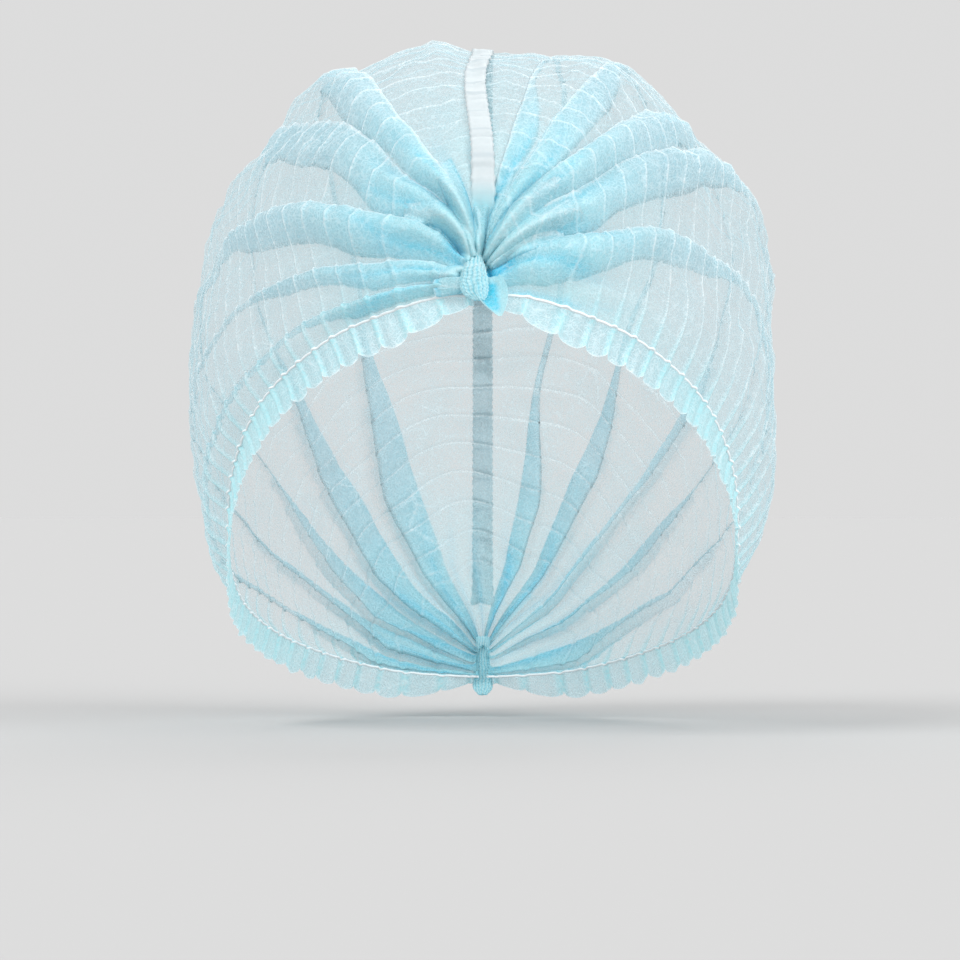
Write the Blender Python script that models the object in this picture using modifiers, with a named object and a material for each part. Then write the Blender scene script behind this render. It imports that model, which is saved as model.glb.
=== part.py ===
"""A disposable pleated hairnet in the shape it has when worn.

One thin nonwoven sheet is pleated from front to back, like an accordion, and welded into
a bundle over the forehead and another at the nape. Each long edge carries an elastic with
a ruffle outside it, and a white strip runs over the crown from weld to weld.

Metres, +Z up. The face looks towards -Y and the wearer's left is +X. The origin is the
middle of the head opening, halfway between the two welds.

A place on the sheet is (share, side): share runs from 0 at the front weld to 1 at the back
weld, and side from -1 at the right ear's elastic over 0 at the crown to 1 at the left ear's.
"""

import bisect
import math
from typing import NamedTuple

import bmesh
import bpy
from mathutils import Vector

# The head opening and the dome
WELD_SPAN = 0.188  # front weld to back weld, measured level
WELD_DROP = 0.124  # how far the back weld lies below the front one
CROWN_RADIUS = 0.1425  # origin to the dome over the crown, at its fullest
SIDE_RADIUS = 0.0940  # origin to the dome over the ears
LEFT_FULLNESS = 0.0060  # how far the dome bulges halfway between crown and ear
RIGHT_FULLNESS = 0.0030
OPENING_WIDTH = 0.158  # from elastic to elastic over the ears
OPENING_POWER = 2.2  # 2 makes the opening an ellipse seen from above, and more is squarer
HEM_POWER = 6  # how late on its way from the crown the dome turns in to the elastic
BUNCHING = 1.8  # how strongly the pleats crowd to the crown side of a weld

# The sheet and its edges
SHEET_WALL = 0.001
RIB_COUNT = 40  # cross creases from weld to weld, each ending in one scallop
CROWN_RIB = 0.0006  # how far a cross crease stands up on the crown
EDGE_RIB = 0.0012  # and at the elastic, where the sheet is gathered
FOLD_RISE = 0.0045  # how far the boldest pleat stands over the one above it
FOLD_STEP = 0.0035  # width of a pleat's steep side
FOLD_LEFT_OVER = 0.3  # share of its rise that a pleat keeps where it has opened out
RUFFLE_WIDTH = 0.0100  # elastic to the tip of a scallop
RUFFLE_NOTCH = 0.0082  # elastic to the notch between two scallops
RUFFLE_WAVE = 0.0016  # how far a scallop bows out at its tip
RUFFLE_FLARE = 0.0010  # how far the ruffle's free edge leaves the head

# What is on the sheet
ELASTIC_THICKNESS = 0.0015
STRIP_WIDTH = 0.0066
STRIP_THICKNESS = 0.0008
STRIP_INSET = 0.08  # the strip's ends, as a share of the way from weld to weld
RUFFLE_INSET = 0.04  # the ends of the ruffles
ELASTIC_INSET = 0.025  # and of the elastics
STRIP_SWAY = 0.0025  # how far the strip wanders off the middle over the forehead
WELD_WIDTH = 0.0075
WELD_HEIGHT = 0.020
WELD_DEPTH = 0.0060
FRONT_STAND = 0.0022  # how far the front weld's middle stands out from the dome's end
BACK_STAND = 0.0001
TAIL_LENGTH = 0.0130  # the gathered tip of both hems under the front weld
TAIL_WAY = Vector((0.12, -0.25, -0.96))
GAP = 0.0003  # between pieces that touch
HEM_GAP = 0.0005  # between an elastic and the gathered edge of the sheet

WELD_REACH = 0.10  # share of the way over which the sheet gathers at a weld
GATHER_WIDTH = 0.0044  # the gathered end of the sheet, behind the weld
GATHER_HEIGHT = 0.0130
GATHER_TURN = 150  # degrees from its crown side to each edge of the sheet


class CrownRow(NamedTuple):
    """The crown line in the middle plane: turn in degrees from front to back weld."""

    turn: float
    bulge: float  # from the welds' radius, 0, to CROWN_RADIUS, 1


CROWN = (
    CrownRow(0, 0.0),
    CrownRow(11, 0.33),
    CrownRow(24, 0.59),
    CrownRow(40, 0.78),
    CrownRow(57, 0.90),
    CrownRow(73, 0.97),
    CrownRow(90, 1.0),
    CrownRow(109, 0.88),
    CrownRow(126, 0.58),
    CrownRow(146, 0.18),
    CrownRow(165, -0.03),
    CrownRow(180, 0.0),
)


class RimRow(NamedTuple):
    """The elastic's line: turn in degrees round the head, seen from above."""

    turn: float
    height: float  # from the back weld's height, -1, to the front weld's, 1


RIM = (
    RimRow(0, 0.93),
    RimRow(10, 0.90),
    RimRow(18, 0.82),
    RimRow(30, 0.72),
    RimRow(39, 0.62),
    RimRow(50, 0.48),
    RimRow(60, 0.33),
    RimRow(73, 0.09),
    RimRow(82, -0.10),
    RimRow(90, -0.35),
    RimRow(100, -0.53),
    RimRow(115, -0.70),
    RimRow(135, -0.86),
    RimRow(160, -1.00),
    RimRow(180, -1.05),
)


class SideRow(NamedTuple):
    """The dome's line over the ear."""

    share: float
    bulge: float  # from the welds' radius, 0, to SIDE_RADIUS, 1


SIDE = (
    SideRow(0.0, 0.0),
    SideRow(0.1, 0.12),
    SideRow(0.2, 0.35),
    SideRow(0.3, 0.65),
    SideRow(0.4, 0.88),
    SideRow(0.5, 1.0),
    SideRow(0.6, 1.0),
    SideRow(0.7, 0.88),
    SideRow(0.8, 0.65),
    SideRow(0.9, 0.30),
    SideRow(1.0, 0.0),
)


class Fold(NamedTuple):
    """One pleat, whose steep side faces the crown."""

    front: float  # side at which its edge runs over the front half
    back: float  # and over the back half
    rise: float  # share of FOLD_RISE
    front_reach: float  # share of the way at which it has opened out
    back_reach: float  # share at which it starts to close again


RIGHT_EAR_FOLDS = (
    Fold(0.24, 0.20, 0.80, 0.42, 0.66),
    Fold(0.36, 0.38, 0.85, 0.44, 0.62),
    Fold(0.58, 0.56, 1.00, 0.40, 0.70),
    Fold(0.77, 0.74, 0.50, 0.30, 0.66),
    Fold(0.92, 0.90, 0.35, 0.22, 0.76),
)
LEFT_EAR_FOLDS = (
    Fold(0.11, 0.12, 0.20, 0.22, 0.74),
    Fold(0.22, 0.26, 0.35, 0.36, 0.68),
    Fold(0.35, 0.42, 1.00, 0.42, 0.62),
    Fold(0.46, 0.58, 0.75, 0.42, 0.70),
    Fold(0.65, 0.78, 0.90, 0.36, 0.66),
)


class WeldRow(NamedTuple):
    """A section of a weld."""

    height: float  # from its crown end, 1, over its middle, 0, to its lower tip, -1
    width: float  # share of WELD_WIDTH
    depth: float  # share of WELD_DEPTH


FRONT_WELD = (
    WeldRow(1.00, 0.30, 0.30),
    WeldRow(0.80, 0.62, 0.60),
    WeldRow(0.40, 0.92, 0.95),
    WeldRow(0.00, 1.00, 1.00),
    WeldRow(-0.35, 1.12, 0.85),
    WeldRow(-0.60, 1.30, 0.60),
    WeldRow(-0.82, 1.05, 0.48),
    WeldRow(-1.00, 0.45, 0.36),
)
BACK_WELD = (
    WeldRow(1.00, 0.30, 0.30),
    WeldRow(0.80, 0.62, 0.60),
    WeldRow(0.40, 0.92, 0.95),
    WeldRow(0.00, 1.00, 1.00),
    WeldRow(-0.40, 0.92, 0.85),
    WeldRow(-0.75, 0.65, 0.60),
)

# The two welds, and the axis between them that the dome turns round
WELD_RADIUS = math.hypot(WELD_SPAN, WELD_DROP) / 2
TO_FRONT = Vector((0, -WELD_SPAN, WELD_DROP)).normalized()
TO_CROWN = Vector((0, WELD_DROP, WELD_SPAN)).normalized()
TO_LEFT_EAR = Vector((1, 0, 0))
LEFT_EAR, RIGHT_EAR = 1, -1

LINE_POINTS = 361  # points along a crown or rim line when it is measured
STATIONS = 2 * RIB_COUNT  # steps along the sheet: one on each rib and one between
RUFFLE_STEPS = 4  # steps along one scallop
WELD_SIDES = 12


def ease(low, high, at):
    """0 below low, 1 above high, and smooth between them."""
    x = min(max((at - low) / (high - low), 0), 1)
    return x * x * (3 - 2 * x)


def smooth(rows, at):
    """The second column of a table at a value of its first, on a smooth curve."""
    places = [row[0] for row in rows]
    values = [row[1] for row in rows]
    last = len(rows) - 1
    at = min(max(at, places[0]), places[-1])
    i = min(bisect.bisect_right(places, at) - 1, last - 1)

    def slope(k):
        low, high = max(k - 1, 0), min(k + 1, last)
        return (values[high] - values[low]) / (places[high] - places[low])

    step = places[i + 1] - places[i]
    x = (at - places[i]) / step
    start = values[i] * (2 * x**3 - 3 * x**2 + 1) + slope(i) * step * (x**3 - 2 * x**2 + x)
    end = values[i + 1] * (3 * x**2 - 2 * x**3) + slope(i + 1) * step * (x**3 - x**2)
    return start + end


def crown_point(turn):
    radius = WELD_RADIUS + (CROWN_RADIUS - WELD_RADIUS) * smooth(CROWN, turn)
    angle = math.radians(turn)
    return radius * (math.cos(angle) * TO_FRONT + math.sin(angle) * TO_CROWN)


def rim_point(turn):
    """A point of the left ear's elastic."""
    angle = math.radians(turn)
    x = math.sin(angle) ** (2 / OPENING_POWER) * OPENING_WIDTH / 2
    y = abs(math.cos(angle)) ** (2 / OPENING_POWER) * WELD_SPAN / 2
    return Vector((x, -math.copysign(y, math.cos(angle)), WELD_DROP / 2 * smooth(RIM, turn)))


class Line:
    """A curve read by the share of its own length, so that ribs stay evenly spaced on it."""

    def __init__(self, point_at):
        self.points = [point_at(180 * i / (LINE_POINTS - 1)) for i in range(LINE_POINTS)]
        self.run = [0.0]
        for a, b in zip(self.points, self.points[1:]):
            self.run.append(self.run[-1] + (b - a).length)

    def at(self, share):
        target = min(max(share, 0), 1) * self.run[-1]
        i = min(max(bisect.bisect_right(self.run, target) - 1, 0), LINE_POINTS - 2)
        part = (target - self.run[i]) / (self.run[i + 1] - self.run[i])
        return self.points[i].lerp(self.points[i + 1], part)


CROWN_LINE = Line(crown_point)
RIM_LINE = Line(rim_point)


def polar(point):
    """(radius, angle from the front weld, turn from the crown) of a point."""
    radius = point.length
    lean = math.acos(min(max(point.dot(TO_FRONT) / radius, -1), 1))
    return radius, lean, math.atan2(abs(point.dot(TO_LEFT_EAR)), point.dot(TO_CROWN))


def gathered_end(share, side):
    """Where the sheet ends behind the nearer weld, gathered into a small oval."""
    to_weld = TO_FRONT if share < 0.5 else -TO_FRONT
    radius = WELD_RADIUS - WELD_DEPTH / 2 - GAP - SHEET_WALL
    turn = math.radians(GATHER_TURN) * side
    across = math.sin(turn) * GATHER_WIDTH / 2
    along = math.cos(turn) * GATHER_HEIGHT / 2
    return radius * to_weld + across * TO_LEFT_EAR + along * TO_CROWN


def dome(share, side):
    """A point of the plain dome, without pleats or ribs."""
    near_weld = ease(0, WELD_REACH, min(share, 1 - share))
    side = math.copysign(abs(side) ** (BUNCHING + (1 - BUNCHING) * near_weld), side)
    crown_radius, crown_lean, _ = polar(CROWN_LINE.at(share))
    rim_radius, rim_lean, rim_turn = polar(RIM_LINE.at(share))
    side_radius = WELD_RADIUS + (SIDE_RADIUS - WELD_RADIUS) * smooth(SIDE, share)
    lean = crown_lean + (rim_lean - crown_lean) * (1 - math.cos(math.pi / 2 * abs(side)))

    fullness = LEFT_FULLNESS if side > 0 else RIGHT_FULLNESS

    def plain(turn):
        if abs(turn) > math.pi / 2:
            return side_radius
        bulge = fullness * math.sin(2 * turn) ** 2 * math.sin(math.pi * share)
        return side_radius + (crown_radius - side_radius) * math.cos(turn) ** 2 + bulge

    hem = (rim_radius - plain(rim_turn)) * abs(side) ** HEM_POWER
    radius = plain(side * rim_turn) + hem
    turn = side * rim_turn
    out = math.cos(turn) * TO_CROWN + math.sin(turn) * TO_LEFT_EAR
    point = radius * (math.cos(lean) * TO_FRONT + math.sin(lean) * out)
    return gathered_end(share, side).lerp(point, near_weld)


def width_at(share, side):
    """Length over the dome for one unit of side, near a place."""
    side = min(side, 0.99)
    return (dome(share, side + 0.01) - dome(share, side - 0.01)).length / 0.02


def elastic_point(share, ear):
    """A point of an elastic, which runs straight from rib to rib."""
    rib = min(math.floor(share * RIB_COUNT), RIB_COUNT - 1)
    here, there = dome(rib / RIB_COUNT, ear), dome((rib + 1) / RIB_COUNT, ear)
    return here.lerp(there, share * RIB_COUNT - rib)


def fold_columns(folds, share):
    """(side, rise) of each line along the sheet from the crown to the elastic."""
    reach = 1 - (ELASTIC_THICKNESS / 2 + HEM_GAP) / width_at(share, 1)
    columns = [(0.0, 0.0)]
    for fold in folds:
        edge = reach * (fold.front + (fold.back - fold.front) * ease(0.35, 0.65, share))
        front = 1 - ease(fold.front_reach / 2, fold.front_reach, share)
        back = ease(fold.back_reach, (1 + fold.back_reach) / 2, share)
        folded = FOLD_LEFT_OVER + (1 - FOLD_LEFT_OVER) * max(front, back)
        rise = FOLD_RISE * fold.rise * folded * ease(0, WELD_REACH, min(share, 1 - share))
        before = columns[-1][0]
        step = min(FOLD_STEP / width_at(share, edge), 0.45 * (edge - before))
        columns.append((edge - step, 0.0))
        columns.append((edge, rise))
    columns.append((reach, 0.0))
    return columns


def sheet_columns(share):
    """The same from the right ear's elastic to the left ear's."""
    right = [(-side, rise) for side, rise in fold_columns(RIGHT_EAR_FOLDS, share)]
    return right[:0:-1] + fold_columns(LEFT_EAR_FOLDS, share)


def side_of(share, off_middle):
    """The side at which the dome is this far from the crown line."""
    near, far = 0.0, 1.0
    for _ in range(12):
        half = (near + far) / 2
        if abs(dome(share, half).x) < abs(off_middle):
            near = half
        else:
            far = half
    return math.copysign(near, off_middle)


def rib_rise(station, side):
    """How far the rib pattern lifts the sheet at a station: ribs are on the odd ones."""
    share = station / STATIONS
    height = CROWN_RIB + (EDGE_RIB - CROWN_RIB) * side**2
    return (station % 2) * height * ease(0, WELD_REACH, min(share, 1 - share))


def veil_sections():
    """The sheet's points, a row for each station from the front weld to the back weld."""
    sections = []
    for station in range(STATIONS + 1):
        share = station / STATIONS
        section = []
        for side, rise in sheet_columns(share):
            point = dome(share, side)
            lift = rise + rib_rise(station, side)
            section.append(point + lift * point.normalized())
        sections.append(section)
    return sections


def ruffle_sections(ear):
    """Points of one ruffle: its inner and its free edge, at every step of the scallops."""
    sections = []
    steps = RUFFLE_STEPS * RIB_COUNT
    skipped = round(steps * RUFFLE_INSET)
    for step in range(skipped, steps - skipped + 1):
        share = step / steps
        here = elastic_point(share, ear)
        along = (RIM_LINE.at(share + 0.01) - RIM_LINE.at(share - 0.01)).normalized()
        along.x *= ear
        off_head = Vector((here.x, here.y, 0)).normalized()
        down = (ear * along.cross(off_head)).normalized()
        phase = 2 * math.pi * step / RUFFLE_STEPS
        bow = -math.cos(phase)
        tip = RUFFLE_WIDTH if step % RUFFLE_STEPS else RUFFLE_NOTCH
        inner = here + (ELASTIC_THICKNESS / 2 + GAP) * down
        outer = here + tip * down + (RUFFLE_FLARE + RUFFLE_WAVE * bow) * off_head
        sections.append([inner, outer])
    return sections


def strip_sections():
    """Points of the crown strip's two edges, lying on the sheet and creased with it."""
    sections = []
    lift = (SHEET_WALL + STRIP_THICKNESS) / 2 + GAP
    first = round(STATIONS * STRIP_INSET)
    for station in range(first, STATIONS - first + 1):
        share = station / STATIONS
        sway = -STRIP_SWAY * math.sin(math.pi * ease(STRIP_INSET, 0.3, share))
        low, high = (side_of(share, sway + edge * STRIP_WIDTH / 2) for edge in (-1, 1))
        under = [rise for side, rise in sheet_columns(share) if low - 0.03 < side < high + 0.03]
        edges = [dome(share, low), dome(share, high)]
        arch = (dome(share, 0) - (edges[0] + edges[1]) / 2).length
        rise = lift + rib_rise(station, 0) + max(under) + arch
        sections.append([point + rise * point.normalized() for point in edges])
    return sections


def weld_sections(rows, to_weld, stand, lower_way):
    """Oval sections of a weld. lower_way runs from its middle to its lower tip."""
    middle = (WELD_RADIUS + stand) * to_weld
    sections = []
    for row in rows:
        if row.height > 0:
            centre = middle + row.height * WELD_HEIGHT / 2 * TO_CROWN
        else:
            centre = middle - row.height * lower_way
        out = to_weld
        section = []
        for i in range(WELD_SIDES):
            angle = 2 * math.pi * i / WELD_SIDES
            across = math.cos(angle) * row.width * WELD_WIDTH / 2
            depth = math.sin(angle) * row.depth * WELD_DEPTH / 2
            section.append(centre + across * TO_LEFT_EAR + depth * out)
        sections.append(section)
    return sections


def add_object(name, data, material):
    thing = bpy.data.objects.new(name, data)
    thing.data.materials.append(material)
    HAIRNET.objects.link(thing)
    return thing


def sheet(name, sections, wall, material):
    """A wall of even thickness through open sections, each a row of points."""
    mesh = bmesh.new()
    rows = [[mesh.verts.new(point) for point in section] for section in sections]
    for a, b in zip(rows, rows[1:]):
        for i in range(len(a) - 1):
            mesh.faces.new((a[i], a[i + 1], b[i + 1], b[i]))
    data = bpy.data.meshes.new(name)
    mesh.to_mesh(data)
    mesh.free()
    thing = add_object(name, data, material)
    solidify = thing.modifiers.new("wall", "SOLIDIFY")
    solidify.thickness = wall
    solidify.offset = 0
    return thing


def loft(name, sections, material):
    """A closed body through rings of points, with a flat face at each end."""
    mesh = bmesh.new()
    rings = [[mesh.verts.new(point) for point in section] for section in sections]
    for a, b in zip(rings, rings[1:]):
        for i in range(len(a)):
            j = (i + 1) % len(a)
            mesh.faces.new((a[i], a[j], b[j], b[i]))
    mesh.faces.new(rings[0])
    mesh.faces.new(rings[-1])
    bmesh.ops.recalc_face_normals(mesh, faces=mesh.faces)
    data = bpy.data.meshes.new(name)
    mesh.to_mesh(data)
    mesh.free()
    data.shade_smooth()
    return add_object(name, data, material)


def elastic(name, ear, material):
    """The elastic's round cord along one edge of the sheet."""
    curve = bpy.data.curves.new(name, "CURVE")
    curve.dimensions = "3D"
    curve.bevel_depth = ELASTIC_THICKNESS / 2
    curve.bevel_resolution = 1
    curve.use_fill_caps = True
    first = round(RIB_COUNT * ELASTIC_INSET)
    shares = [rib / RIB_COUNT for rib in range(first, RIB_COUNT - first + 1)]
    spline = curve.splines.new("POLY")
    spline.points.add(len(shares) - 1)
    for point, share in zip(spline.points, shares):
        point.co = (*elastic_point(share, ear), 1)
    return add_object(name, curve, material)


def material(name, colour, roughness):
    made = bpy.data.materials.new(name)
    made.use_nodes = True
    shader = made.node_tree.nodes["Principled BSDF"]
    shader.inputs["Base Color"].default_value = (*colour, 1)
    shader.inputs["Roughness"].default_value = roughness
    shader.inputs["Metallic"].default_value = 0
    return made


for old in list(bpy.data.objects):
    bpy.data.objects.remove(old)

HAIRNET = bpy.data.collections.new("hairnet")
bpy.context.scene.collection.children.link(HAIRNET)

nonwoven = material("nonwoven", (0.42, 0.72, 0.83), 0.75)
fused = material("fused_nonwoven", (0.30, 0.66, 0.82), 0.45)
rubber = material("elastic", (0.88, 0.94, 0.96), 0.55)
white_tape = material("white_strip", (0.90, 0.92, 0.94), 0.50)

sheet("veil", veil_sections(), SHEET_WALL, nonwoven)
for ear_name, ear in (("left", LEFT_EAR), ("right", RIGHT_EAR)):
    sheet(f"ruffle_{ear_name}", ruffle_sections(ear)[::ear], SHEET_WALL, nonwoven)
    elastic(f"elastic_{ear_name}", ear, rubber)
sheet("crown_strip", strip_sections(), STRIP_THICKNESS, white_tape)
front = weld_sections(FRONT_WELD, TO_FRONT, FRONT_STAND, TAIL_LENGTH * TAIL_WAY)
back = weld_sections(BACK_WELD, -TO_FRONT, BACK_STAND, -WELD_HEIGHT / 2 * TO_CROWN)
loft("front_weld", front, fused)
loft("back_weld", back, fused)
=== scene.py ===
"""The looks of the disposable pleated hairnet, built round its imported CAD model.

A place on the sheet is (share, side), as in the CAD model: share runs from 0 at the front
weld to 1 at the back weld, and side from -1 at the right ear's elastic over 0 at the crown
to 1 at the left ear's. Metres, +Z up, and the face looks towards -Y.
"""

import math
from typing import NamedTuple

import bmesh
import bpy
import numpy as np
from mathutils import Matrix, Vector, noise
from mathutils.bvhtree import BVHTree


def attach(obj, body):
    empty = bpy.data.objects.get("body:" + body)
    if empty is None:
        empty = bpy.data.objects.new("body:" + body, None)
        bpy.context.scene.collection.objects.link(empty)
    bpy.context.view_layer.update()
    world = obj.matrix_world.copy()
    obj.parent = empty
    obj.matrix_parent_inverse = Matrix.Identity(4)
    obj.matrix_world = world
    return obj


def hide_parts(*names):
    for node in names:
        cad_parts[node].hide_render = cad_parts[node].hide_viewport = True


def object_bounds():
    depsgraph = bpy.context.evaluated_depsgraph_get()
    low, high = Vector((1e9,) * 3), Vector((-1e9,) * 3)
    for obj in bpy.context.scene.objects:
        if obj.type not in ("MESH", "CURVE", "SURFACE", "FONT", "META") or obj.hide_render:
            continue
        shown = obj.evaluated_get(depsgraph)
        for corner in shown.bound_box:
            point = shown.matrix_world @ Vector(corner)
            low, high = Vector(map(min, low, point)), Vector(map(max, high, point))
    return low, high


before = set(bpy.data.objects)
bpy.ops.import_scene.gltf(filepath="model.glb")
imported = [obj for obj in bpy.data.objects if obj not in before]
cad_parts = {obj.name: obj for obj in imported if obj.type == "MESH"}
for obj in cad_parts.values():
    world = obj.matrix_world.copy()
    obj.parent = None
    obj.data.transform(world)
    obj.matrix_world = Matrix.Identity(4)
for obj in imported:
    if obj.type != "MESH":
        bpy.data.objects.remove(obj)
CAD_BOX = [list(corner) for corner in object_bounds()]

MM = 0.001

# The dome, as in the CAD model
WELD_SPAN = 0.188
WELD_DROP = 0.124
CROWN_RADIUS = 0.1425
SIDE_RADIUS = 0.0940
LEFT_FULLNESS = 0.0060  # how far the dome bulges halfway between crown and ear
RIGHT_FULLNESS = 0.0030
OPENING_WIDTH = 0.158
OPENING_POWER = 2.2  # 2 makes the opening an ellipse seen from above
HEM_POWER = 6  # how late the dome turns in to the elastic
BUNCHING = 1.8  # how strongly the pleats crowd to the crown side of a weld
WELD_REACH = 0.10  # share of the way over which the sheet gathers at a weld
GATHER_WIDTH = 0.0044
GATHER_HEIGHT = 0.0130
GATHER_DEPTH = 0.0043  # how far in the sheet ends behind a weld
GATHER_TURN = 150  # degrees from its crown side to each edge
RIB_COUNT = 40  # cross creases from weld to weld

# The pleats and creases
FOLD_RISE = 0.0064  # how far the boldest pleat stands over the sheet beside it
FOLD_LEFT_OVER = 0.3  # share of its rise that a pleat keeps where it has opened out
FOLD_LIP = 0.0004  # width of a pleat's pale edge
FOLDED_FROM = 0.1  # share of its full height from which a pleat counts as folded
FOLD_WANDER = 0.006  # how far a pleat's edge strays, in units of side
LAP_WIDTH = 0.0145  # how far the boldest pleat lies over the sheet under it
LAP_LEFT_OVER = 0.0016  # and how far where it has opened out
LAP_NARROWING = 1.4  # how fast the laps narrow off the weld, the more the nearer the hem
LAP_KEPT = 0.20  # and the share of its lap that every pleat keeps there
LAP_LIMIT = 0.75  # the most that a lap takes of the way to the next pleat
BILLOW = 0.0022  # how far the sheet puffs out between two pleats
HUMP = 0.0026  # how far the boldest pleat puffs out over its own laps
CROWN_CREASE = 0.0010  # height of a cross crease on the crown
HEM_CREASE = 0.0021  # and at the elastic
CROWN_PUFF = 0.0005  # how far the sheet bulges between two creases on the crown
HEM_PUFF = 0.0013  # and at the elastic
CRUMPLE = 0.0013  # height of the small random wrinkles
DRIFT = 0.0018  # and of the wide ones
PULL = 0.0007  # and of those that run from weld to weld
GATHER_RISE = 0.0026  # height of the fine gathers that run into a weld
GATHER_LINES = 7.5
PIT_DEPTH = 0.0022  # depth of the hollows beside the front weld

# The ruffles
RUFFLE_INSET = 0.030  # the ruffles' ends, as a share of the way from weld to weld
RUFFLE_WIDTH = 0.0101  # elastic to the tip of a scallop
RUFFLE_NOTCH = 0.0082  # elastic to the notch between two scallops
RUFFLE_UNEVEN = 0.0009  # how far their lengths differ
RUFFLE_WAVE = 0.0019  # how far a scallop bows out at its tip
RUFFLE_FLARE = 0.0010  # how far the ruffle's free edge leaves the head
RUFFLE_GRAIN = 0.0004
RUFFLE_AT_WELD = 0.28  # the share of its width that the ruffle keeps at a weld
RUFFLE_BUNCH = 0.12  # how dense the ruffle looks over the brow and nape
RUFFLE_BUNCH_OVER_EARS = 0.62  # and over the temples and ears

# The strip and the elastics
STRIP_WIDTH = 0.0066
STRIP_WALL = 0.0003
STRIP_INSET = 0.070  # the strip's back end, as a share of the way from weld to weld
STRIP_END = 0.046  # the share at which the strip's lower end is lost between the gathers
STRIP_SWAY = 0.0025  # how far the strip wanders off the middle over the forehead
STRIP_LIFT = 0.0007  # how far it lies over the veil
STRIP_TEETH = 0.00012  # how far its rough edges stand out
STRIP_CREASE_RISE = 0.0004
STRIP_TUCK = 0.0012  # how deep its front end sinks between the gathers
ELASTIC_INSET = 0.018  # the elastics' ends
ELASTIC_THICKNESS = 0.0008
ELASTIC_LIFT = 0.0003  # how far its middle lies over the hem

# The bundles
TAIL_WAY = (0.12, -0.25, -0.96)
STRAND_WALL = 0.0002
STRAND_SINK = 0.0005  # how deep a strand's borders sink into the veil
STRAND_SMOOTHING = 8

# The view: a pixel is 0.30 mm at the front of the opening
CAMERA_PLACE = (-0.0009, -1.580, 0.001)
CAMERA_LENS = 187.5
FLOOR_DROP = 0.004  # how far the floor lies below the CAD model

# Mesh fineness
ROWS_PER_RIB = (-0.5, -0.34, -0.2, -0.11, -0.05, 0.0, 0.05, 0.11, 0.2, 0.34)
PANEL_STEPS = 14
LAP_STEPS = 5
RUFFLE_STEPS = 9
STEPS_PER_SCALLOP = 20
STRIP_GRID = (930, 9)
ELASTIC_POINTS = 961
KNOT_GRID = (110, 151)
TAIL_GRID = (50, 41)
CURL_GRID = (40, 24)
STRAND_GRID = (56, 25)


class CrownRow(NamedTuple):
    """The crown line in the middle plane: turn in degrees from front to back weld."""

    turn: float
    bulge: float  # from the welds' radius, 0, to CROWN_RADIUS, 1


class RimRow(NamedTuple):
    """The elastic's height, as a share of the front weld's: turn as in CrownRow."""

    turn: float
    height: float


class SideRow(NamedTuple):
    """The dome's radius beside the ears."""

    share: float
    bulge: float  # from the welds' radius, 0, to SIDE_RADIUS, 1


class Fold(NamedTuple):
    """One pleat: where its edge runs, how bold it is, and how far from each weld it reaches."""

    front: float
    back: float
    rise: float
    front_reach: float
    back_reach: float


class Pit(NamedTuple):
    """A hollow beside the front weld, where the cloth tucks in under itself."""

    x: float
    z: float
    radius: float


class PanelRow(NamedTuple):
    """How far the sheet stands out or in between the pleats, in millimetres."""

    side: float
    lift: float


CROWN = (
    CrownRow(0, 0.0),
    CrownRow(11, 0.33),
    CrownRow(24, 0.59),
    CrownRow(40, 0.78),
    CrownRow(57, 0.90),
    CrownRow(73, 0.97),
    CrownRow(90, 1.0),
    CrownRow(109, 0.88),
    CrownRow(126, 0.58),
    CrownRow(146, 0.18),
    CrownRow(165, -0.03),
    CrownRow(180, 0.0),
)
RIM = (
    RimRow(0, 0.93),
    RimRow(10, 0.90),
    RimRow(18, 0.82),
    RimRow(30, 0.72),
    RimRow(39, 0.62),
    RimRow(50, 0.48),
    RimRow(60, 0.33),
    RimRow(73, 0.09),
    RimRow(82, -0.10),
    RimRow(90, -0.35),
    RimRow(100, -0.53),
    RimRow(115, -0.70),
    RimRow(135, -0.86),
    RimRow(160, -1.00),
    RimRow(180, -1.05),
)
SIDE = (
    SideRow(0.0, 0.0),
    SideRow(0.1, 0.12),
    SideRow(0.2, 0.35),
    SideRow(0.3, 0.65),
    SideRow(0.4, 0.88),
    SideRow(0.5, 1.0),
    SideRow(0.6, 1.0),
    SideRow(0.7, 0.88),
    SideRow(0.8, 0.65),
    SideRow(0.9, 0.30),
    SideRow(1.0, 0.0),
)
RIGHT_EAR_FOLDS = (
    Fold(0.24, 0.20, 0.80, 0.42, 0.66),
    Fold(0.36, 0.38, 0.85, 0.44, 0.62),
    Fold(0.58, 0.56, 1.00, 0.40, 0.70),
    Fold(0.77, 0.74, 0.50, 0.30, 0.66),
    Fold(0.92, 0.90, 0.35, 0.22, 0.76),
)
LEFT_EAR_FOLDS = (
    Fold(0.11, 0.12, 0.20, 0.22, 0.74),
    Fold(0.22, 0.26, 0.35, 0.36, 0.68),
    Fold(0.35, 0.42, 1.00, 0.42, 0.62),
    Fold(0.46, 0.58, 0.75, 0.42, 0.70),
    Fold(0.65, 0.78, 0.90, 0.36, 0.66),
)

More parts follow.
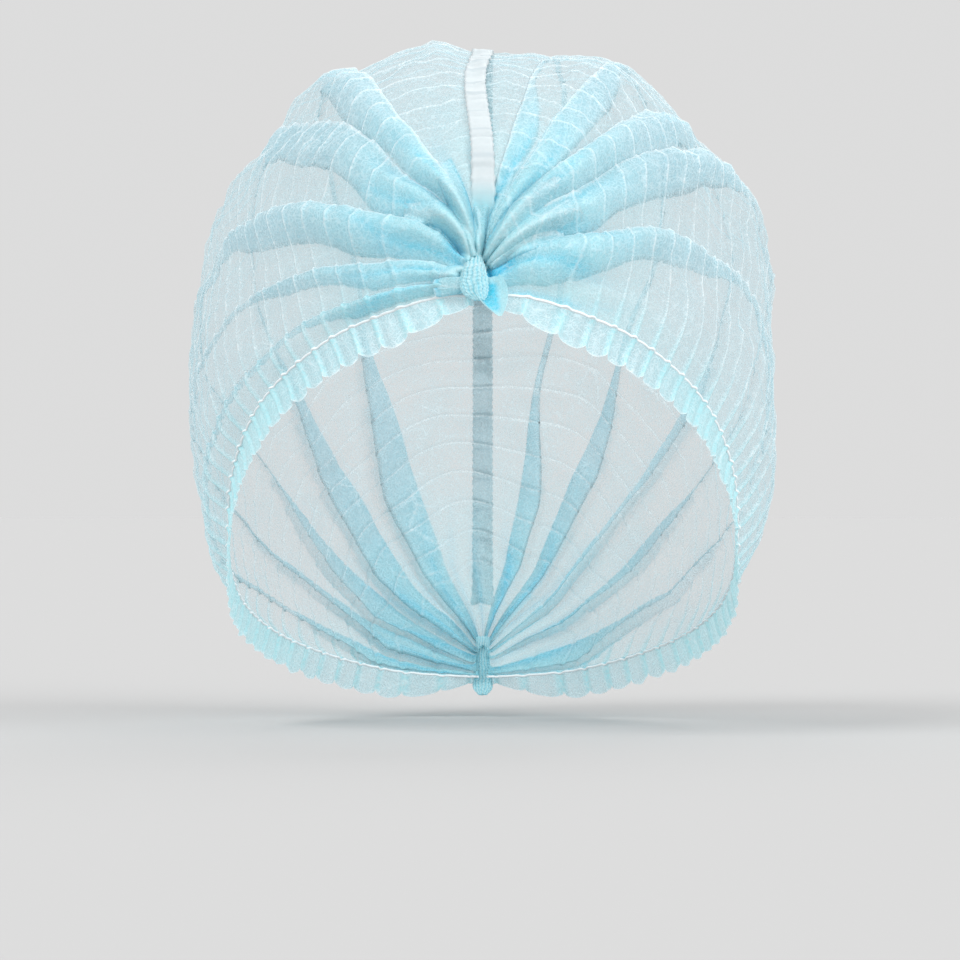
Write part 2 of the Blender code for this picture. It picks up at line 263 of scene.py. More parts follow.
PANELS = (
    PanelRow(-1.00, 0.0),
    PanelRow(-0.92, 0.2),
    PanelRow(-0.85, -2.2),
    PanelRow(-0.77, -1.8),
    PanelRow(-0.71, -3.8),
    PanelRow(-0.63, -5.0),
    PanelRow(-0.58, -4.2),
    PanelRow(-0.52, -2.8),
    PanelRow(-0.48, -1.4),
    PanelRow(-0.45, -3.2),
    PanelRow(-0.43, -5.4),
    PanelRow(-0.40, -7.2),
    PanelRow(-0.37, -6.0),
    PanelRow(-0.30, -0.6),
    PanelRow(-0.26, -1.6),
    PanelRow(-0.22, -2.4),
    PanelRow(-0.15, -2.6),
    PanelRow(-0.11, -2.3),
    PanelRow(-0.08, -1.2),
    PanelRow(-0.03, -5.4),
    PanelRow(0.00, -5.8),
    PanelRow(0.04, -6.0),
    PanelRow(0.08, -5.2),
    PanelRow(0.13, -3.8),
    PanelRow(0.17, -2.2),
    PanelRow(0.23, 1.0),
    PanelRow(0.28, -2.4),
    PanelRow(0.33, -5.0),
    PanelRow(0.365, -7.4),
    PanelRow(0.39, -5.8),
    PanelRow(0.42, -3.8),
    PanelRow(0.48, -0.8),
    PanelRow(0.51, -1.5),
    PanelRow(0.53, -5.2),
    PanelRow(0.57, -6.8),
    PanelRow(0.62, -7.8),
    PanelRow(0.66, -6.2),
    PanelRow(0.75, -4.4),
    PanelRow(0.80, -1.6),
    PanelRow(0.90, -0.2),
    PanelRow(1.00, 0.0),
)

PITS = (
    Pit(0.0062, 0.0632, 0.0034),
    Pit(-0.0072, 0.0668, 0.0030),
    Pit(-0.0012, 0.0752, 0.0022),
)

WELD_RADIUS = math.hypot(WELD_SPAN, WELD_DROP) / 2
TO_FRONT = np.array((0, -WELD_SPAN, WELD_DROP)) / (2 * WELD_RADIUS)
TO_CROWN = np.array((0, WELD_DROP, WELD_SPAN)) / (2 * WELD_RADIUS)
TO_LEFT_EAR = np.array((1.0, 0, 0))
LEFT_EAR, RIGHT_EAR = 1, -1


def ease(low, high, at):
    """From 0 at low to 1 at high, smoothly."""
    x = np.clip((at - low) / (high - low), 0, 1)
    return x * x * (3 - 2 * x)


def smooth(rows, at):
    """The second column of a table at values of its first, on a smooth curve."""
    places = np.array([row[0] for row in rows], float)
    values = np.array([row[1] for row in rows], float)
    slopes = np.gradient(values, places)
    for i in range(1, len(rows) - 1):
        slopes[i] = (values[i + 1] - values[i - 1]) / (places[i + 1] - places[i - 1])
    at = np.clip(at, places[0], places[-1])
    i = np.clip(np.searchsorted(places, at, "right") - 1, 0, len(rows) - 2)
    step = places[i + 1] - places[i]
    x = (at - places[i]) / step
    start = values[i] * (2 * x**3 - 3 * x**2 + 1) + slopes[i] * step * (x**3 - 2 * x**2 + x)
    end = values[i + 1] * (3 * x**2 - 2 * x**3) + slopes[i + 1] * step * (x**3 - x**2)
    return start + end


def along(direction, amount):
    """Vectors of these lengths in one direction."""
    return np.asarray(amount)[..., None] * direction


def crown_line(turn):
    """Points of the sheet's middle line over the crown."""
    radius = WELD_RADIUS + (CROWN_RADIUS - WELD_RADIUS) * smooth(CROWN, turn)
    angle = np.radians(turn)
    return along(TO_FRONT, radius * np.cos(angle)) + along(TO_CROWN, radius * np.sin(angle))


def rim_line(turn):
    """Points of the left elastic."""
    angle = np.radians(turn)
    x = np.abs(np.sin(angle)) ** (2 / OPENING_POWER) * OPENING_WIDTH / 2
    y = np.abs(np.cos(angle)) ** (2 / OPENING_POWER) * WELD_SPAN / 2
    z = WELD_DROP / 2 * smooth(RIM, turn)
    return np.stack([x, -np.copysign(y, np.cos(angle)), z], -1)


class Line:
    """A curve read by the share of its own length."""

    def __init__(self, point_at):
        self.points = point_at(np.linspace(0, 180, 721))
        steps = np.linalg.norm(np.diff(self.points, axis=0), axis=1)
        self.run = np.concatenate([[0], np.cumsum(steps)])

    def at(self, share):
        target = np.clip(share, 0, 1) * self.run[-1]
        return np.stack([np.interp(target, self.run, self.points[:, i]) for i in range(3)], -1)


CROWN_LINE = Line(crown_line)
RIM_LINE = Line(rim_line)


def polar(point):
    """Radius, lean off the front weld and turn off the crown of each point."""
    radius = np.linalg.norm(point, axis=-1)
    lean = np.arccos(np.clip(point @ TO_FRONT / radius, -1, 1))
    return radius, lean, np.arctan2(np.abs(point @ TO_LEFT_EAR), point @ TO_CROWN)


def near_weld(share):
    """0 at a weld and 1 from WELD_REACH on."""
    return ease(0, WELD_REACH, np.minimum(share, 1 - share))


def dome(share, side):
    """Points of the plain dome, for arrays of shares and sides of one shape."""
    share, side = np.broadcast_arrays(np.asarray(share, float), np.asarray(side, float))
    open_out = near_weld(share)
    side = np.copysign(np.abs(side) ** (BUNCHING + (1 - BUNCHING) * open_out), side)
    crown_radius, crown_lean, _ = polar(CROWN_LINE.at(share))
    rim_radius, rim_lean, rim_turn = polar(RIM_LINE.at(share))
    side_radius = WELD_RADIUS + (SIDE_RADIUS - WELD_RADIUS) * smooth(SIDE, share)
    lean = crown_lean + (rim_lean - crown_lean) * (1 - np.cos(np.pi / 2 * np.abs(side)))
    fullness = np.where(side > 0, LEFT_FULLNESS, RIGHT_FULLNESS)

    def plain(turn):
        upper = np.minimum(np.abs(turn), np.pi / 2)
        bulge = fullness * np.sin(2 * upper) ** 2 * np.sin(np.pi * share)
        return side_radius + (crown_radius - side_radius) * np.cos(upper) ** 2 + bulge

    hem = (rim_radius - plain(rim_turn)) * np.abs(side) ** HEM_POWER
    turn = side * rim_turn
    radius = plain(turn) + hem
    out = along(TO_CROWN, np.cos(turn)) + along(TO_LEFT_EAR, np.sin(turn))
    point = radius[..., None] * (along(TO_FRONT, np.cos(lean)) + np.sin(lean)[..., None] * out)

    to_weld = np.where(share < 0.5, 1.0, -1.0) * (WELD_RADIUS - GATHER_DEPTH)
    ring_turn = math.radians(GATHER_TURN) * side
    end = along(TO_FRONT, to_weld)
    end = end + along(TO_LEFT_EAR, np.sin(ring_turn) * GATHER_WIDTH / 2)
    end = end + along(TO_CROWN, np.cos(ring_turn) * GATHER_HEIGHT / 2)
    return end + (point - end) * open_out[..., None]


def out_of(point):
    """Unit vectors out of the head."""
    return point / np.linalg.norm(point, axis=-1, keepdims=True)


def noise_at(points, scale, seed, octaves=1):
    """Smooth noise from about -1 to 1 at each point."""
    flat = points.reshape(-1, 3) * scale + seed * 7.31
    if octaves == 1:
        values = [noise.noise(Vector(p)) for p in flat]
    else:
        values = [noise.fractal(Vector(p), 0.9, 2.0, octaves) for p in flat]
    return np.array(values).reshape(points.shape[:-1])


def width_at(share, side):
    """Length over the dome for one unit of side."""
    side = np.clip(side, 0, 0.99)
    return np.linalg.norm(dome(share, side + 0.01) - dome(share, side - 0.01), axis=-1) / 0.02


def folded_at(fold, share):
    """How much of its full height a pleat has at a share of the way."""
    front = 1 - ease(fold.front_reach / 2, fold.front_reach, share)
    back = ease(fold.back_reach, (1 + fold.back_reach) / 2, share)
    return np.maximum(front, back)


def fold_edge(fold, index, ear, share):
    """The side at which a pleat's edge runs, wandering a little."""
    edge = fold.front + (fold.back - fold.front) * ease(0.35, 0.65, share)
    wander = np.sin(share * 21 + index * 2.1 + ear) + 0.6 * np.sin(share * 47 + index * 3.7)
    return edge + FOLD_WANDER * wander * near_weld(share)


def crease_wander(share, side):
    """How far the cross creases stray, in spacings."""
    bend = 0.22 * np.sin(7 * side + 2.1 * np.sin(9 * share))
    bend = bend + 0.13 * np.sin(17 * side - 19 * share)
    return bend * near_weld(share) * (1 - np.abs(side) ** 6)


def crease_place(share, side):
    """The cross creases' count at a place: a crease lies halfway between whole numbers."""
    return share * RIB_COUNT + crease_wander(share, side)


def from_crease(place):
    """How far a place is from its nearest crease, as a share of their spacing."""
    return np.abs(place - np.floor(place) - 0.5)


def crease_rise(share, side):
    """Height of the cross creases and of the sheet's bulge between them."""
    away = from_crease(crease_place(share, side))
    to_hem = np.abs(side) ** 5
    tuck = np.exp(-((away / (0.065 + 0.045 * to_hem)) ** 2))
    height = CROWN_CREASE + (HEM_CREASE - CROWN_CREASE) * to_hem
    puff = CROWN_PUFF + (HEM_PUFF - CROWN_PUFF) * to_hem
    return (height * tuck + puff * np.sin(np.pi * away) ** 0.8) * near_weld(share)


def gathers(share, side):
    """The fine gathers near the welds: where they are, and how high each place on one is."""
    from_weld = np.minimum(share, 1 - share)
    there = ease(0.0, 0.03, from_weld) * (1 - ease(0.055, 0.17, from_weld))
    bend = 0.35 * np.sin(9 * side + 30 * share)
    return there, np.abs(np.sin(np.pi * (GATHER_LINES * side + bend))) ** 0.8


def pits(base):
    """How deep each place lies in one of the hollows beside the front weld, from 0 to 1."""
    depth = np.zeros(base.shape[:-1])
    for pit in PITS:
        off = np.hypot(base[..., 0] - pit.x, base[..., 2] - pit.z) / pit.radius
        depth = np.maximum(depth, np.exp(-(off**2)) * (base[..., 1] < 0))
    return depth


def sheet_lift(base, share, side):
    """How far the wrinkled sheet stands off the plain dome, its pleats left out."""
    calm = near_weld(share) * (1 - np.abs(side) ** 8)
    small = 0.6 * noise_at(base, 90, 3, 3) + 0.9 - 2 * np.abs(noise_at(base, 52, 19))
    wide = noise_at(base, 28, 11)
    run = ease(0.10, 0.28, share) * (1 - ease(0.60, 0.85, share))
    panels = MM * smooth(PANELS, side) * run
    there, ridge = gathers(share, side)
    gather = GATHER_RISE * there * ridge * (1 - np.abs(side) ** 8)
    runs = np.stack([42 * side, 4 * share, 0 * share], -1)
    pull = PULL * noise_at(runs, 1, 23, 2)
    wrinkles = CRUMPLE * small + DRIFT * wide + pull + panels
    return crease_rise(share, side) + gather + wrinkles * calm - PIT_DEPTH * pits(base)


def lap_width(fold, folded, edge, share):
    """How far a pleat lies over the sheet under it."""
    off_weld = ease(0.04, 0.16, np.minimum(share, 1 - share))
    narrowed = 1 - off_weld * np.minimum(LAP_NARROWING * edge**2, 1 - LAP_KEPT)
    return LAP_LEFT_OVER + LAP_WIDTH * fold.rise**0.5 * folded * narrowed


def half_sheet(folds, ear, share):
    """(side, rise, edge, lapped) of one ear's half, with a row for each share."""
    sides, rises, edges, laps = [], [], [], []

    def add(side, rise, at_edge, lapped):
        sides.append(side)
        rises.append(rise)
        edges.append(np.full_like(share, at_edge))
        laps.append(lapped * np.ones_like(share))

    start = np.zeros_like(share)
    start_rise = np.zeros_like(share)
    start_lap = np.zeros_like(share)
    start_hump = np.zeros_like(share)
    for index in range(len(folds) + 1):
        if index < len(folds):
            fold = folds[index]
            edge = fold_edge(fold, index, ear, share)
            folded = folded_at(fold, share)
            wide = width_at(share, edge)
            lap = lap_width(fold, folded, edge, share) / wide
            next_edge = folds[index + 1].front if index + 1 < len(folds) else 1.0
            lap = np.minimum(lap, LAP_LIMIT * (next_edge - edge))
            rise = FOLD_RISE * fold.rise * (FOLD_LEFT_OVER + (1 - FOLD_LEFT_OVER) * folded)
            rise = rise * near_weld(share)
            end = edge + lap
        else:
            end = np.ones_like(share)
        reach = np.clip(start_lap / (end - start), 0, 0.8)
        for step in range(1 if index else 0, PANEL_STEPS + 1):
            t = step / PANEL_STEPS
            held = 1 - ease(0.35 * reach, reach + 0.45 * (1 - reach), t)
            puffed = BILLOW if index else 0.3 * BILLOW
            billow = puffed * math.sin(math.pi * t) ** 1.5 * near_weld(share)
            over = np.clip(t / np.maximum(1.25 * reach, 0.01), 0, 1)
            hump = start_hump * np.sin(np.pi * over) ** 0.9
            lapped = (t <= reach) * (start_hump > 0.0003)
            add(start + (end - start) * t, start_rise * held + billow + hump, 0, lapped)
        if index == len(folds):
            break
        for step in range(1, LAP_STEPS + 1):
            u = step / LAP_STEPS
            add(end - lap * u, rise * (0.10 + 0.55 * u), 0, folded > FOLDED_FROM)
        add(edge - FOLD_LIP / wide, rise * 0.86, 1, folded > FOLDED_FROM)
        add(edge, rise, 1, folded > FOLDED_FROM)
        start, start_rise, start_lap = edge, rise, lap
        start_hump = HUMP * fold.rise * folded * near_weld(share)
    return [np.stack(columns, 1) for columns in (sides, rises, edges, laps)]


def grid_object(name, points, fields):
    """A smooth sheet through a grid of points, with named values at each point."""
    rows, columns = points.shape[:2]
    index = np.arange(rows * columns).reshape(rows, columns)
    faces = np.stack([index[:-1, :-1], index[:-1, 1:], index[1:, 1:], index[1:, :-1]], -1)
    mesh = bpy.data.meshes.new(name)
    mesh.from_pydata(points.reshape(-1, 3).tolist(), [], faces.reshape(-1, 4).tolist())
    for field, values in fields.items():
        layer = mesh.attributes.new(field, "FLOAT", "POINT")
        layer.data.foreach_set("value", values.astype(np.float32).ravel())
    mesh.shade_smooth()
    thing = bpy.data.objects.new(name, mesh)
    bpy.context.scene.collection.objects.link(thing)
    return thing


def cloth_fields(shape, bunch, edge, painted_shade, place=0, hem=0):
    """The values that the nonwoven material reads, for a grid of points."""
    # of these, the deep-blue field is painted shade: how strongly a place in a valley or hollow
    # is coloured deep blue
    given = {"place": place, "bunch": bunch, "hem": hem, "edge": edge, "painted_shade": painted_shade}
    return {name: np.broadcast_to(values, shape) for name, values in given.items()}


def build_veil():
    """The pleated sheet between the two elastics."""
    crease = np.arange(RIB_COUNT)[:, None] + 0.5 + np.array(ROWS_PER_RIB)
    place = np.append(crease.ravel(), RIB_COUNT)
    right = half_sheet(RIGHT_EAR_FOLDS, RIGHT_EAR, place / RIB_COUNT)
    left = half_sheet(LEFT_EAR_FOLDS, LEFT_EAR, place / RIB_COUNT)
    side = np.concatenate([-right[0][:, :0:-1], left[0]], 1)
    rise, edge, lapped = (
        np.concatenate([right[field][:, :0:-1], left[field]], 1) for field in (1, 2, 3)
    )
    share = np.broadcast_to(place[:, None] / RIB_COUNT, side.shape)
    share = np.clip(share - crease_wander(share, side) / RIB_COUNT, 0, 1)
    base = dome(share, side)
    lift = rise + sheet_lift(base, share, side)
    there, ridge = gathers(share, side)
    fields = {
        "place": crease_place(share, side),
        "bunch": 1 - ease(0.0, 0.24, np.minimum(share, 1 - share)),
        "hem": ease(0.80, 1.0, np.abs(side)),
        "edge": edge * near_weld(share),
        "lapped": lapped,
        # painted shade: deep blue in the valleys between the gathers and in the hollows beside
        # the front weld
        "painted_shade": np.maximum(there * (1 - ridge) ** 1.5, 1.5 * pits(base)),
    }
    return grid_object("pleated_veil", base + lift[..., None] * out_of(base), fields)


def build_ruffle(ear, name):
    """The sheet's free edge outside one elastic, gathered into scallops."""
    steps = round((1 - 2 * RUFFLE_INSET) * RIB_COUNT * STEPS_PER_SCALLOP)
    share = np.linspace(RUFFLE_INSET, 1 - RUFFLE_INSET, steps + 1)
    side = np.full_like(share, float(ear))
    here = dome(share, side)
    way = RIM_LINE.at(share + 0.01) - RIM_LINE.at(share - 0.01)
    way[:, 0] *= ear
    way /= np.linalg.norm(way, axis=1, keepdims=True)
    off_head = here * (1, 1, 0)
    off_head /= np.linalg.norm(off_head, axis=1, keepdims=True)
    down = ear * np.cross(way, off_head)
    down /= np.linalg.norm(down, axis=1, keepdims=True)
    away = from_crease(crease_place(share, side))
    bulge = np.sin(np.pi * away)
    tuck = np.exp(-((away / 0.11) ** 2))
    uneven = np.array([noise.noise(Vector((s * 55, ear, 0))) for s in share])
    waving = 1 + 0.7 * np.array([noise.noise(Vector((s * 31, ear, 5))) for s in share])
    length = RUFFLE_NOTCH + (RUFFLE_WIDTH - RUFFLE_NOTCH) * bulge**0.6
    length = length + RUFFLE_UNEVEN * uneven
    to_weld = ease(0.027, 0.100, np.minimum(share, 1 - share))
    length = length * (RUFFLE_AT_WELD + (1 - RUFFLE_AT_WELD) * to_weld)
    start = crease_rise(share, side)
    rows = []
    for step in range(RUFFLE_STEPS + 1):
        t = step / RUFFLE_STEPS
        wave = RUFFLE_WAVE * waving * (bulge + 1.1 * tuck - 0.5) * (0.4 + 0.6 * t)
        flare = RUFFLE_FLARE * t**1.5 + wave * min(1, 3 * t) + start * (1 - t) ** 3
        rows.append(here + (length * t)[:, None] * down + flare[:, None] * off_head)
    points = np.stack(rows, 1)
    grain = noise_at(points, 160, 5) * RUFFLE_GRAIN
    points = points + grain[..., None] * off_head[:, None]
    place = crease_place(share, side)[:, None]
    lip = np.linspace(0, 1, RUFFLE_STEPS + 1) ** 12
    over_ears = (ease(0.17, 0.30, share) * ease(0.84, 0.70, share))[:, None]
    bunch = RUFFLE_BUNCH + (RUFFLE_BUNCH_OVER_EARS - RUFFLE_BUNCH) * over_ears
    return grid_object(name, points, cloth_fields(points.shape[:2], bunch, lip, 0, place, 1))


def thicken(thing, thickness):
    wall = thing.modifiers.new("wall", "SOLIDIFY")
    wall.thickness = thickness
    return wall


def build_strip():
    """The white strip on the veil, its front end lost between the gathers."""
    share = np.linspace(STRIP_END, 1 - STRIP_INSET, STRIP_GRID[0])
    sway = -STRIP_SWAY * np.sin(np.pi * ease(STRIP_INSET, 0.3, share))
    width = STRIP_WIDTH * (0.60 + 0.40 * ease(STRIP_END, 0.082, share))
    lost = ease(0.077, 0.058, share)
    teeth = STRIP_TEETH * np.sign(np.sin(2 * np.pi * share * RIB_COUNT * 4))
    crease = np.exp(-((from_crease(share * RIB_COUNT) / 0.07) ** 2))
    one_side = width_at(share, np.full_like(share, 0.02))
    bases, lifts = [], []
    for s in np.linspace(-1, 1, STRIP_GRID[1]):
        off = sway + s * width / 2
        if abs(s) == 1:
            off = off + s * teeth
        side = off / one_side
        bases.append(dome(share, side))
        lifts.append(sheet_lift(bases[-1], share, side) + STRIP_LIFT + STRIP_CREASE_RISE * crease)
    base = np.stack(bases, 1)
    lift = np.stack(lifts, 1)
    bridging = ease(0.22, 0.12, share)[:, None]
    lift = lift + bridging * (lift.max(1, keepdims=True) - lift)
    lift = lift - STRIP_TUCK * lost[:, None] ** 2
    points = base + lift[..., None] * out_of(base)
    crease = np.broadcast_to(crease[:, None], points.shape[:2])
    lost = np.broadcast_to(lost[:, None], points.shape[:2])
    strip = grid_object("white_crown_strip", points, {"crease": crease, "lost": lost})
    thicken(strip, STRIP_WALL).offset = 1
    return strip


def build_elastic(ear, name):
    """The thread along one hem, rising over each crease."""
    curve = bpy.data.curves.new(name, "CURVE")
    curve.dimensions = "3D"
    curve.bevel_depth = ELASTIC_THICKNESS / 2
    curve.bevel_resolution = 2
    curve.use_fill_caps = True
    spline = curve.splines.new("POLY")
    shares = np.linspace(ELASTIC_INSET, 1 - ELASTIC_INSET, ELASTIC_POINTS)
    spline.points.add(len(shares) - 1)
    side = np.full_like(shares, float(ear))
    here = dome(shares, side)
    lift = ELASTIC_LIFT + 0.75 * crease_rise(shares, side)
    path = here + lift[:, None] * out_of(here)
    for point, place in zip(spline.points, path):
        point.co = (*place, 1)
    thing = bpy.data.objects.new(name, curve)
    bpy.context.scene.collection.objects.link(thing)
    return thing


class KnotRow(NamedTuple):
    """A section of a weld's gathered bundle, in millimetres."""

    reach: float  # along the bundle from the weld's middle, up towards the crown
    shift: float  # towards the left ear
    stand: float  # out of the head
    width: float
    depth: float
    fluting: float  # share of the radius


FRONT_KNOT = (
    KnotRow(-9.8, -2.4, 3.0, 3.4, 0.8, 0.15),
    KnotRow(-7.8, -3.1, 2.8, 7.4, 2.2, 0.24),
    KnotRow(-4.5, -3.2, 2.5, 8.8, 3.4, 0.24),
    KnotRow(-1.0, -2.8, 2.1, 7.8, 4.6, 0.24),
    KnotRow(2.5, -2.6, 1.7, 6.2, 4.8, 0.26),
    KnotRow(5.0, -2.5, 0.9, 5.0, 4.6, 0.30),
    KnotRow(8.0, -2.2, -1.2, 5.0, 4.0, 0.34),
    KnotRow(12.0, -1.6, -5.5, 4.6, 2.0, 0.34),
)
BACK_KNOT = (
    KnotRow(-10.0, 0.0, 0.6, 3.0, 0.8, 0.20),
    KnotRow(-7.5, 0.0, 0.6, 6.6, 2.2, 0.30),
    KnotRow(-2.5, 0.0, 0.6, 6.4, 3.8, 0.26),
    KnotRow(3.0, 0.0, 0.2, 5.0, 4.2, 0.26),
    KnotRow(10.0, 0.0, -3.5, 4.6, 1.6, 0.34),
)


def build_knot(name, table, to_weld, lower_way):
    """A pinched bundle of cloth, crimped where the weld presses it."""
    reach = np.linspace(table[0].reach, table[-1].reach, KNOT_GRID[0])
    shift, stand, width, depth, fluting = (
        smooth([(row.reach, row[column]) for row in table], reach)[:, None]
        for column in (1, 2, 3, 4, 5)
    )
    angle = np.linspace(0, 2 * np.pi, KNOT_GRID[1])
    reach, angle = np.meshgrid(reach, angle, indexing="ij")
    folds = 7.5 * angle + 0.6 * np.sin(0.45 * reach) + 0.35 * np.sin(1.9 * reach)
    flute = np.abs(np.sin(folds)) ** 0.7
    second = np.abs(np.sin(3 * angle + 1.3 + 0.1 * reach)) ** 0.6
    radius = 1 - fluting * (1 - 0.6 * flute - 0.4 * second)
    crimp = 0.12 * np.sin(reach * 5.6 + 2.6 * np.sin(4 * angle)) * ease(4, 1, reach)
    across = np.cos(angle) * (width / 2 * radius + crimp) + shift
    out = np.sin(angle) * (depth / 2 * radius + crimp) + stand
    way = np.where(reach[..., None] > 0, TO_CROWN, -np.asarray(lower_way))
    points = along(to_weld, WELD_RADIUS + MM * out) + along(TO_LEFT_EAR, MM * across)
    points = points + MM * reach[..., None] * way
    points[:, -1] = points[:, 0]
    # painted highlight on the crests of the flutes, and painted shade in deep blue in the valleys
    # between them
    fields = cloth_fields(reach.shape, 1, 0.6 * flute**3, 0.8 * (1 - flute) ** 2)
    knot = grid_object(name, points, fields)
    mesh = bmesh.new()
    mesh.from_mesh(knot.data)
    bmesh.ops.remove_doubles(mesh, verts=mesh.verts, dist=1e-7)
    bmesh.ops.holes_fill(mesh, edges=mesh.edges, sides=400)
    bmesh.ops.recalc_face_normals(mesh, faces=mesh.faces)
    mesh.to_mesh(knot.data)
    mesh.free()
    return knot


def build_tail(name):
    """The scoop of cloth that hangs from the front weld, open towards the front."""
    down = np.linspace(0, 1, TAIL_GRID[0])
    down, turn = np.meshgrid(down, np.linspace(-1, 1, TAIL_GRID[1]), indexing="ij")
    reach = 2.0 + 12.4 * down
    half = 4.9 * np.sin(np.pi * np.clip(0.12 + 0.86 * down, 0, 1)) ** 0.8
    shift = 2.3 + 1.0 * down - 1.2 * np.sin(np.pi * down)
    cup = 2.4 * np.sin(np.pi * np.clip(0.1 + 0.9 * down, 0, 1)) ** 0.7
    fold = 0.25 * np.sin(9 * turn + 5 * down)
    across = shift + half * np.sin(1.75 * turn)
    out = 2.6 + cup * (0.55 - np.cos(2.1 * turn)) + fold * (1 - down)
    points = along(TO_FRONT, WELD_RADIUS + MM * out) + along(TO_LEFT_EAR, MM * across)
    points = points + MM * reach[..., None] * np.asarray(TAIL_WAY)
    middle = ease(0.52, 0.12, np.abs(turn + 0.1))
    hollow = middle * ease(0.05, 0.25, down) * ease(0.97, 0.72, down)
    # paler towards both sides, and painted shade in deep blue inside the scoop
    return grid_object(
        name, points, cloth_fields(down.shape, 1, np.abs(turn) ** 8, 1.6 * hollow)
    )


def build_flap(name, ear):
    """The start of a hem, curled over beside the front weld."""
    run, roll = (np.linspace(0, 1, count) for count in CURL_GRID)
    run, roll = np.meshgrid(run, roll, indexing="ij")
    radius = (2.0 + 1.2 * run) * np.sin(np.pi * (0.12 + 0.64 * run)) ** 0.6
    radius = radius * (1 + 0.07 * np.sin(11 * run + 5 * roll))
    turn = 0.2 + 4.4 * roll
    across = 1.6 + 12.4 * run + 0.8 * run * np.sin(5 * roll)
    reach = -3.0 - 2.6 * run + radius * np.cos(turn) - 0.6 * np.sin(np.pi * run)
    out = 2.9 + 0.45 * radius * np.sin(turn) + 0.3 * run
    points = along(TO_FRONT, WELD_RADIUS + MM * out) + along(TO_LEFT_EAR, MM * ear * across)
    points = points + MM * reach[..., None] * np.array((0, 0, 1.0))
    points[..., 1] += 0.00003 * across**1.5
    # painted highlights: a bright rim at the curl's far end and thin bright lines round the roll
    edge = np.maximum(run**14, 0.8 * np.abs(np.sin(9 * roll + 2 * run)) ** 14)
    # painted shade: deep blue over the roll's inner part and at the curl's far end
    painted_shade = 0.8 * np.maximum(ease(0.80, 0.95, run), ease(0.42, 0.62, roll) * (1 - run))
    return grid_object(name, points, cloth_fields(run.shape, 0.80, edge, painted_shade))


class StrandRow(NamedTuple):
    """A place on a smooth fold that runs over the veil to the front weld, in millimetres."""

    x: float
    z: float
    half: float  # its width to each side
    height: float


STRANDS = (
    (
        StrandRow(-12.5, 96.0, 3.4, 0.2),
        StrandRow(-7.6, 84.5, 3.2, 2.6),
        StrandRow(-4.6, 74.5, 2.3, 3.6),
        StrandRow(-2.4, 66.5, 1.5, 3.6),
    ),
    (
        StrandRow(-23.5, 80.5, 3.6, 0.2),
        StrandRow(-13.5, 80.0, 3.8, 2.2),
        StrandRow(-7.2, 73.8, 2.8, 3.2),
        StrandRow(-3.4, 65.8, 1.6, 3.4),
    ),
    (
        StrandRow(-0.4, 84.5, 2.2, 0.2),
        StrandRow(-0.9, 79.0, 2.2, 1.6),
        StrandRow(-1.2, 72.5, 1.9, 3.0),
        StrandRow(-1.6, 66.0, 1.3, 3.4),
    ),
    (
        StrandRow(23.0, 91.0, 3.6, 0.2),
        StrandRow(12.6, 81.8, 3.8, 2.0),
        StrandRow(4.6, 73.0, 2.7, 3.0),
        StrandRow(0.2, 65.5, 1.5, 3.6),
    ),
    (
        StrandRow(29.0, 82.0, 3.8, 0.2),
        StrandRow(17.0, 77.2, 4.2, 1.8),
        StrandRow(8.4, 72.0, 3.2, 2.8),
        StrandRow(1.4, 64.0, 1.7, 3.4),
    ),
    (
        StrandRow(24.0, 74.5, 3.2, 0.1),
        StrandRow(15.0, 72.2, 3.2, 1.5),
        StrandRow(8.6, 68.8, 2.1, 2.2),
        StrandRow(2.4, 64.0, 1.3, 2.8),
    ),
    (
        StrandRow(-15.5, 60.2, 2.2, 0.1),
        StrandRow(-10.2, 62.2, 2.3, 1.5),
        StrandRow(-6.2, 62.8, 1.8, 2.4),
        StrandRow(-3.0, 62.0, 1.4, 3.0),
    ),
    (
        StrandRow(9.4, 66.2, 1.5, 0.1),
        StrandRow(6.6, 64.6, 2.0, 0.5),
        StrandRow(3.6, 62.7, 2.3, 1.2),
        StrandRow(-0.6, 60.4, 2.2, 1.8),
    ),
)
HOLLOW_SHADE_STRAND = 7  # the last one lines the hollow to the right of the bundle and is painted deep blue along its middle, as painted shade
TO_FRONT_SHEET = 0.23  # how far a ray may go, so that it can't reach the veil's back


